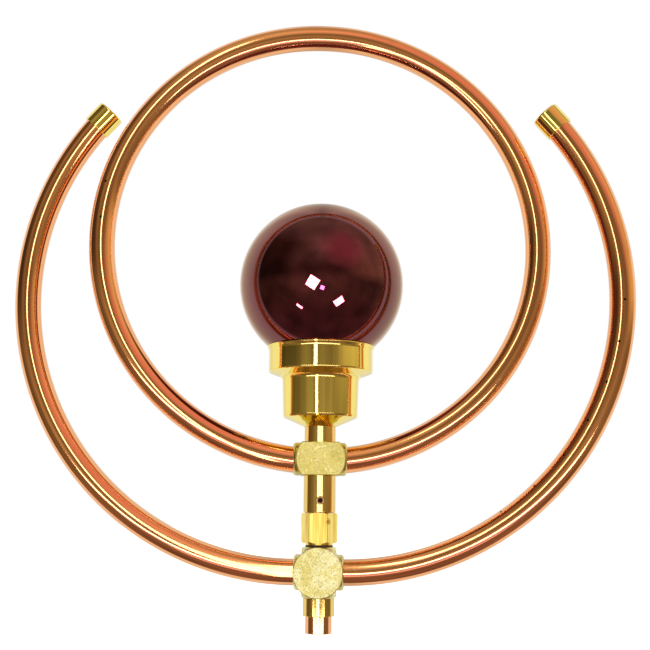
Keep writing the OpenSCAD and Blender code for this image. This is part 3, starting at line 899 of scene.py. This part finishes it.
class SCULPTURE_OT_hubs(PieceOperator, bpy.types.Operator):
    """Make both brass hubs with their tube sockets"""
    bl_idname = "sculpture.hubs"
    bl_label = "Hubs"

    def make(self, tubes, hubs, ball, c):
        disc = self.peg(hubs.radius / MM, hubs.depth / MM / 2, 0.55)
        self.hub("lower_hub", "c_rotor", hubs.lower_z, disc, self.peg(10.6, 15, 1.5), "XZ",
                 [("X", 8.0, 8, 18), ("X", 8.0, -18, -8), ("X", 5, -12, 12), ("Z", 5, -18, 18),
                  ("Z", 7.55, -18, -7), ("Z", 7.05, 7, 18)])
        self.hub("upper_hub", "ring_rotor", hubs.upper_z, disc, self.peg(10, 16.3, 1.7), "X",
                 [("X", 5, -12, 12), ("Z", 5, -18, 0), ("Z", 7.55, -18, -4.4), ("Z", 7.05, 5.4, 18)],
                 hubs.flats / 2, tubes.ring_bend)

    def peg(self, radius, half, fillet):
        """The outline of a round peg with softened ends, in millimetres."""
        return mm_outline([(0, -half), (radius, -half, fillet), (radius, half, fillet), (0, half)])

    def hub(self, node, body, z, disc, lug, lug_axes, bores, flat=None, ring=None):
        """A disc with a lug along each named axis, bored through, and for the ring cut flat and socketed."""
        up = Matrix.Translation((0, 0, z))
        surfaces = [(disc, up @ AXES["Y"])]
        obj = turned(node + "_brass", disc, 160, up @ AXES["Y"])
        if flat:
            carve(obj, ("INTERSECT", self.slab(flat, z)))
        for axis in lug_axes:
            carve(obj, ("UNION", turned("lug", lug, 128, up @ AXES[axis])))
            surfaces.append((lug, up @ AXES[axis]))
        for axis, radius, low, high in bores:
            runs = rounded([(0, low * MM), (radius * MM, low * MM), (radius * MM, high * MM), (0, high * MM)])
            carve(obj, ("DIFFERENCE", turned("bore", runs, 96, up @ AXES[axis])))
            surfaces.append((inside_out(runs), up @ AXES[axis]))
        if ring:
            reach = 12.8 * MM
            slope = math.asin(reach / ring)
            rise = ring * (1 - math.cos(slope)) - HUB_RING_STEP
            for side in (1, -1):
                place = (Matrix.Translation((side * reach, 0, z + rise))
                         @ Matrix.Rotation(-side * slope, 4, "Y") @ AXES["X"])
                carve(obj, ("DIFFERENCE", tool("socket", 8.02 * MM, -4.0 * MM, 6 * MM, place, 96)))
        set_normals(obj, surfaces)
        lit_by(dress(obj, node.replace("_", " ").title() + " Brass", body, node), "faces")

    def slab(self, flat, z):
        """A block with softened long edges that leaves the hub's two flats."""
        bm = bmesh.new()
        bmesh.ops.create_cube(bm, size=1.0)
        bmesh.ops.scale(bm, vec=(60 * MM, 25.4 * MM, 2 * flat), verts=bm.verts)
        long = [e for e in bm.edges if abs(e.verts[0].co.x - e.verts[1].co.x) > 0.05]
        return softened("slab", bm, long, 0.5 * MM, z)


class SCULPTURE_OT_hexagon(PieceOperator, bpy.types.Operator):
    """Make the hexagon with its neck, spigot and journal"""
    bl_idname = "sculpture.hexagon"
    bl_label = "Hexagon"

    def make(self, tubes, hubs, ball, c):
        corner = hubs.hex_flats / MM / math.sqrt(3)
        low, high = 52.7, 70.7
        bm = bmesh.new()
        bmesh.ops.create_cone(bm, cap_ends=True, segments=6, radius1=corner * MM, radius2=corner * MM,
                              depth=(high - low) * MM)
        across = max(v.co.x for v in bm.verts)
        turn = 0 if across > (corner - 0.01) * MM else math.pi / 6
        bmesh.ops.rotate(bm, matrix=Matrix.Rotation(turn, 3, "Z"), verts=bm.verts)
        upright = [e for e in bm.edges if abs(e.verts[0].co.z - e.verts[1].co.z) > 0.01]
        obj = softened("hexagon_brass", bm, upright, 0.28 * MM, (high + low) / 2 * MM)
        chamfer = mm_outline([(0, low), (corner - 1.1, low), (corner, low + 0.95), (corner, high - 0.95),
                              (corner - 1.1, high), (0, high)])
        neck = mm_outline([(0, 42.6), (7, 42.6, 0.3), (7, 50.5), (7.4, 50.5), (7.4, 51.5), (8.2, 51.5, 0.2),
                           (8.2, 54), (0, 54)])
        journal = mm_outline([(0, 69), (6, 69), (6, 76.5), (5, 76.5), (5, 79.7), (6, 79.7), (6, 84.3),
                              (4.95, 84.3), (4.95, 85.7), (6, 85.7), (6, 87.3), (4.95, 87.3), (4.95, 88.7),
                              (6, 88.7), (6, 90, 0.4), (0, 90)], 3)
        bore = rounded([(0, 0.04), (0.004, 0.04), (0.004, 0.1), (0, 0.1)])
        carve(obj, ("INTERSECT", turned("chamfer", chamfer)), ("UNION", turned("neck", neck)),
              ("UNION", turned("journal", journal)), ("DIFFERENCE", turned("bore", bore, 64)))
        set_normals(obj, [(runs, AXES["Z"]) for runs in (chamfer, neck, journal, inside_out(bore))])
        lit_by(dress(obj, "Hexagon Brass", "c_rotor", "hex_spindle"), "faces")


class SCULPTURE_OT_caps(PieceOperator, bpy.types.Operator):
    """Make the two brass end caps"""
    bl_idname = "sculpture.caps"
    bl_label = "End caps"

    def make(self, tubes, hubs, ball, c):
        runs = mm_outline([(0, 5.75), (8.12, 5.75), (8.12, -7.25, 0.12), (9, -7.25, 0.3), (9, 7.25, 1.1),
                           (0, 7.25)], 6)
        for name, node, turn, sweep in (("right_cap_brass", "right_end_cap", 0, tubes.right_cap),
                                        ("left_cap_brass", "left_end_cap", math.pi, tubes.left_cap)):
            place = (Matrix.Rotation(turn, 4, "Z")
                     @ Matrix.Translation((hubs.radius, 0, hubs.lower_z + tubes.arm_bend))
                     @ Matrix.Rotation(math.pi / 2 - sweep, 4, "Y")
                     @ Matrix.Translation((tubes.arm_bend, 0, 0)))
            dress(turned(name, runs, 128, place), "Mirror Brass", "c_rotor", node)


class SCULPTURE_OT_cup(PieceOperator, bpy.types.Operator):
    """Make the post and the spun cup"""
    bl_idname = "sculpture.cup"
    bl_label = "Cup and post"

    def make(self, tubes, hubs, ball, c):
        low = hubs.upper_z / MM + hubs.flats / MM / 2
        z = low + 9.7
        post = mm_outline([(0, low - 4.5), (7, low - 4.5, 0.2), (7, low), (9.5, low, 0.2), (9.5, z, 0.2),
                           (2.55, z), (2.55, z - 10.5), (0, z - 10.5)])
        obj = dress(turned("cup_post_brass", post), "Turned Brass", "ring_rotor", "cup_post")
        lit_by(obj, "sleeves")
        t = ball.cup_wall / MM
        corners = [(3.1, 0), (9.7, 0, 0.6), (22.3, 5.5, 0.5), (22.8, 6.6, 0.9), (23.6, 30.2, 3.0),
                   (32.1, 33.4, 1.3), (32.1, 47.0, 3), (33.1, 48.8, 0.5), (33.0, 49.8, 0.35),
                   (31.2, 48.3, 0.5), (32.1 - t, 47.3, 1), (32.1 - t, 35, 1.0), (23.6 - t, 31.5, 2.0),
                   (22.8 - t, 7.8, 1.0), (9.2, t, 0.6), (3.1, t)]
        runs = rounded([(p[0] * MM, (p[1] + z) * MM, (p[2] if len(p) > 2 else 0) * MM) for p in corners], 7)
        dress(turned("cup_brass", runs, 192), "Mirror Brass", "ring_rotor", "ball_cup")


class SCULPTURE_OT_ball(PieceOperator, bpy.types.Operator):
    """Make the hollow glass ball and its neck"""
    bl_idname = "sculpture.ball"
    bl_label = "Glass ball"

    def make(self, tubes, hubs, ball, c):
        out, inside, mid = ball.radius, ball.radius - ball.glass, ball.middle_z
        neck, throat, low = 12.5 * MM, 10.0 * MM, 141 * MM
        a, b = math.degrees(math.acos(neck / out)), math.degrees(math.acos(throat / inside))
        join_out = mid - out * math.sin(math.radians(a))
        join_in = mid - inside * math.sin(math.radians(b))
        inner = arc((0, mid), inside, 90, -b, 80)
        runs = [line((throat, low), (neck, low)), line((neck, low), (neck, join_out)),
                arc((0, mid), out, -a, 90, 110),
                *inside_out([inner]),
                line((throat, join_in), (throat, low))]
        for run in runs:
            run[-1] = (max(run[-1][0], 0.0), *run[-1][1:])
        obj = dress(turned("ball_glass", runs, 224), "Mirrored Red Glass", "ring_rotor",
                    "glass_ball")
        lit_by(obj, "glass")


class SCULPTURE_OT_inner_parts(PieceOperator, bpy.types.Operator):
    """Give the seals, washers and other inner parts their finishes"""
    bl_idname = "sculpture.inner_parts"
    bl_label = "Inner parts"

    def make(self, tubes, hubs, ball, c):
        for node, finish in (("lower_spindle", "Turned Brass"), ("lower_thrust_washer", "White Washer"),
                             ("lower_o_rings", "Black Rubber"), ("hex_gasket", "Black Rubber"),
                             ("upper_thrust_washer", "White Washer"), ("upper_o_rings", "Black Rubber"),
                             ("cup_washer", "Plain Steel"), ("cup_screw", "Plain Steel"),
                             ("neck_grommet", "Black Rubber"), ("ball_stopper", "Black Rubber")):
            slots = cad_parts[node].data.materials
            slots.clear()
            slots.append(bpy.data.materials[finish])


class SCULPTURE_OT_stage(PieceOperator, bpy.types.Operator):
    """Set the floor, the studio light and the camera"""
    bl_idname = "sculpture.stage"
    bl_label = "Stage"

    def make(self, tubes, hubs, ball, c):
        scene = bpy.context.scene
        scene.view_settings.view_transform = "Standard"
        self.surroundings()
        self.floor(c)
        self.lights()
        data = bpy.data.cameras.new("camera")
        data.lens, data.sensor_width = 63.2, 36.0
        data.clip_start, data.clip_end = 0.01, 50
        cam = new_object("camera", data)
        cam.location = (0.0034, -0.700, 0.0695)
        cam.rotation_euler = (math.radians(90 + 9.45), math.radians(-0.5), 0)
        scene.camera = cam

    def surroundings(self):
        """A warm dim room in front and a white backdrop behind, as the metal sees them."""
        world = bpy.data.worlds.new("studio")
        bpy.context.scene.world = world
        world.use_nodes = True
        world.node_tree.nodes.clear()
        g = Graph(world.node_tree)
        toward = g.add("ShaderNodeTexCoord").outputs["Object"]
        xyz = g.add("ShaderNodeSeparateXYZ", {0: toward}).outputs
        front = g.times(xyz["Y"], -1.0)
        share = g.span(g.math("ARCTAN2", xyz["X"], front), -math.pi, math.pi)

        def walls(*stops):
            return g.ramp(share, *[((degrees + 180) / 360, colour) for degrees, colour in stops])

        high = walls((-100, (0.05, 0.04, 0.02)), (-60, (0.07, 0.05, 0.03)), (-30, (0.26, 0.20, 0.12)),
                     (5, (0.20, 0.15, 0.09)), (25, (0.17, 0.12, 0.08)), (45, (0.42, 0.32, 0.17)),
                     (70, (0.70, 0.55, 0.28)), (100, (0.72, 0.56, 0.30)))
        level = walls((-100, (0.14, 0.10, 0.05)), (-70, (0.17, 0.13, 0.07)), (-45, (0.36, 0.28, 0.16)),
                      (-20, (0.42, 0.34, 0.21)), (25, (0.38, 0.29, 0.17)), (55, (0.25, 0.19, 0.11)),
                      (80, (0.23, 0.17, 0.10)), (100, (0.45, 0.35, 0.20)))
        ceiling = walls((-100, (0.12, 0.08, 0.04)), (-55, (0.14, 0.09, 0.05)), (-25, (0.45, 0.36, 0.22)),
                        (0, (0.76, 0.66, 0.44)), (60, (0.78, 0.66, 0.42)), (100, (0.6, 0.48, 0.3)))
        room = g.mix(g.span(xyz["Z"], -0.01, 0.17), level, high)
        room = g.mix(g.span(xyz["Z"], 0.25, 0.75), room, ceiling)
        room = g.mix(g.span(xyz["Z"], 0.72, 0.97), room, (0.46, 0.38, 0.26, 1))
        room = g.mix(g.span(xyz["Z"], -0.3, -0.7), room, (0.24, 0.14, 0.11, 1))
        uneven = g.add("ShaderNodeTexNoise", {"Vector": toward, "Scale": 2.3, "Detail": 3.0})
        room = g.mix(1.0, room, g.ramp(uneven, (0.3, 0.62), (0.7, 1.35)), "MULTIPLY")
        near_rose = g.add("ShaderNodeVectorMath", {0: toward, 1: (0.43, -0.61, 0.67)},
                          operation="DOT_PRODUCT").outputs["Value"]
        rose = g.span(near_rose, 0.86, 0.99, 0.0, 0.6)
        room = g.mix(rose, room, (0.95, 0.28, 0.36, 1))
        backdrop = walls((-179, (0.66, 0.65, 0.63)), (-162, (1.0, 1.0, 0.98)), (-145, (0.84, 0.82, 0.78)),
                         (-125, (1.0, 0.99, 0.96)), (125, (1.0, 0.99, 0.96)), (145, (0.84, 0.82, 0.78)),
                         (162, (1.0, 1.0, 0.98)), (179, (0.66, 0.65, 0.63)))
        around = g.mix(g.span(front, -0.20, -0.10), backdrop, room)
        seen = g.add("ShaderNodeLightPath").outputs["Is Camera Ray"]
        shade = g.add("ShaderNodeBackground", {"Color": g.mix(seen, around, (1, 1, 1, 1)), "Strength": 1.0})
        g.add("ShaderNodeOutputWorld", {"Surface": shade})

    def floor(self, c):
        """A pale floor under the stem, which the metal doesn't mirror."""
        mesh = bpy.data.meshes.new("floor")
        mesh.from_pydata([(x, y, FLOOR_DROP) for x, y in ((-6, -6), (6, -6), (6, 6), (-6, 6))], [],
                         [(0, 1, 2, 3)])
        obj = new_object("floor", mesh)
        obj.visible_glossy = False
        obj.visible_shadow = False
        new_finish("Pale Floor", Roughness=0.9, Specular_IOR_Level=0.1, Base_Color=rgba(c.backdrop),
                   Emission_Color=(1, 1, 1, 1), Emission_Strength=0.85)
        mesh.materials.append(bpy.data.materials["Pale Floor"])

    def lights(self):
        """Long strips beside the camera for the metal and small windows for the glass.
        The last word on each line is the group of pieces that the light falls on."""
        for group in ("glass", "metal", "sleeves", "lower_tube", "faces"):
            bpy.data.collections.new(group)
        for name, where, wide, high, turn, glow, colour, group in (
                ("tall_strip", (-0.155, -0.80, 0.20), 0.090, 1.70, 0, 5.0, (1, 0.97, 0.86), "metal"),
                ("low_strip", (0.00, -0.80, -0.115), 1.50, 0.095, 0, 6.5, (1, 0.96, 1.0), "metal"),
                ("violet_strip", (0.0, -0.80, -0.22), 1.20, 0.07, 0, 1.5, (0.9, 0.45, 1.5), "metal"),
                ("pink_strip", (0.0, -0.80, -0.42), 1.00, 0.14, 0, 1.0, (1.0, 0.62, 0.8), "metal"),
                ("sleeve_strip", (0.03, -0.80, 0.125), 0.56, 0.15, 0, 2.6, (0.80, 0.95, 1.25), "sleeves"),
                ("stem_strip", (-0.02, -0.80, -0.06), 0.13, 0.09, 0, 7.0, (1, 1, 1), "lower_tube"),
                ("face_panel", (-0.06, -0.80, 0.03), 0.70, 0.60, 0, 1.08, (1, 1, 1.04), "faces"),
                ("window_a", (-0.160, -0.76, 0.110), 0.20, 0.21, 33, 35, (1, 0.90, 0.80), "glass"),
                ("window_b", (0.400, -0.76, -0.310), 0.23, 0.20, -35, 32, (1, 0.82, 0.86), "glass"),
                ("window_c", (-0.560, -0.76, -0.500), 0.18, 0.10, 35, 32, (1, 0.80, 0.74), "glass"),
                ("window_d", (0.018, -0.76, 0.015), 0.07, 0.07, 20, 35, (0.9, 0.4, 1.0), "glass")):
            data = bpy.data.lights.new(name, "AREA")
            data.shape, data.size, data.size_y, data.color = "RECTANGLE", wide, high, colour
            data.energy = math.pi * wide * high * glow
            obj = new_object(name, data)
            obj.location = where
            obj.rotation_euler = (math.radians(90), math.radians(turn), 0)
            obj.visible_camera = False
            obj.light_linking.receiver_collection = bpy.data.collections[group]


class SCULPTURE_PT_panel(bpy.types.Panel):
    """The steps that build the sculpture"""
    bl_label = "Water sculpture"
    bl_idname = "SCULPTURE_PT_panel"
    bl_space_type = "VIEW_3D"
    bl_region_type = "UI"
    bl_category = "Sculpture"

    def draw(self, context):
        for step in STEPS:
            self.layout.operator(step.bl_idname)


GROUPS = {"sculpture_tubes": SculptureTubes, "sculpture_hubs": SculptureHubs,
          "sculpture_ball": SculptureBall, "sculpture_colours": SculptureColours}
STEPS = (SCULPTURE_OT_stage, SCULPTURE_OT_finishes, SCULPTURE_OT_rings, SCULPTURE_OT_stem,
         SCULPTURE_OT_swivels, SCULPTURE_OT_hubs, SCULPTURE_OT_hexagon, SCULPTURE_OT_caps,
         SCULPTURE_OT_cup, SCULPTURE_OT_ball, SCULPTURE_OT_inner_parts)


def register():
    for cls in (*GROUPS.values(), *STEPS, SCULPTURE_PT_panel):
        bpy.utils.register_class(cls)
    for name, cls in GROUPS.items():
        setattr(bpy.types.Scene, name, PointerProperty(type=cls))


def unregister():
    for name in GROUPS:
        delattr(bpy.types.Scene, name)
    for cls in reversed((*GROUPS.values(), *STEPS, SCULPTURE_PT_panel)):
        bpy.utils.unregister_class(cls)


def main():
    register()
    for step in STEPS:
        getattr(bpy.ops.sculpture, step.bl_idname.split(".")[1])()


if __name__ == "__main__":
    main()
